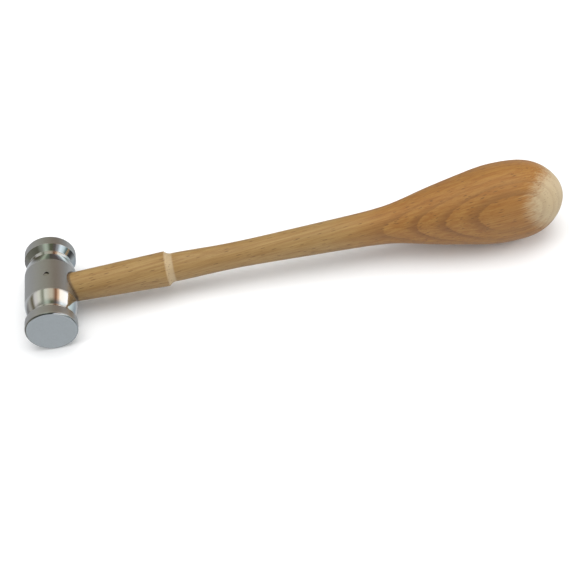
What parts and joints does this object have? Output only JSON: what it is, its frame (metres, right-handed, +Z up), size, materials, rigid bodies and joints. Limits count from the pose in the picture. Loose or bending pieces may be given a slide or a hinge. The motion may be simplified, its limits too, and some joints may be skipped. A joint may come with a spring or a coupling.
{
  "type": "bench hammer",
  "caption": "Small bench hammer with a turned double-faced steel head, necked towards each flat face, and a pinned, turned wooden handle that ends in a bulb.",
  "frame": {"origin": "on the surface that the hammer lies on, under the middle of its overall length and width", "axes": "+X along the handle towards its butt, +Y and -Y out of the two striking faces, +Z up, off the surface"},
  "size_m": [0.2642, 0.0524, 0.0391],
  "materials": {
    "head_steel": "turned steel: satin barrel, rims and faces, polished cones and flares",
    "handle_wood": "turned beech, sanded, thin clear oil",
    "pin_steel": "sawn steel pin, dull"
  },
  "bodies": {
    "root": {"hammer_head": "head_steel", "handle": "handle_wood", "cross_pin": "pin_steel"}
  },
  "joints": []
}
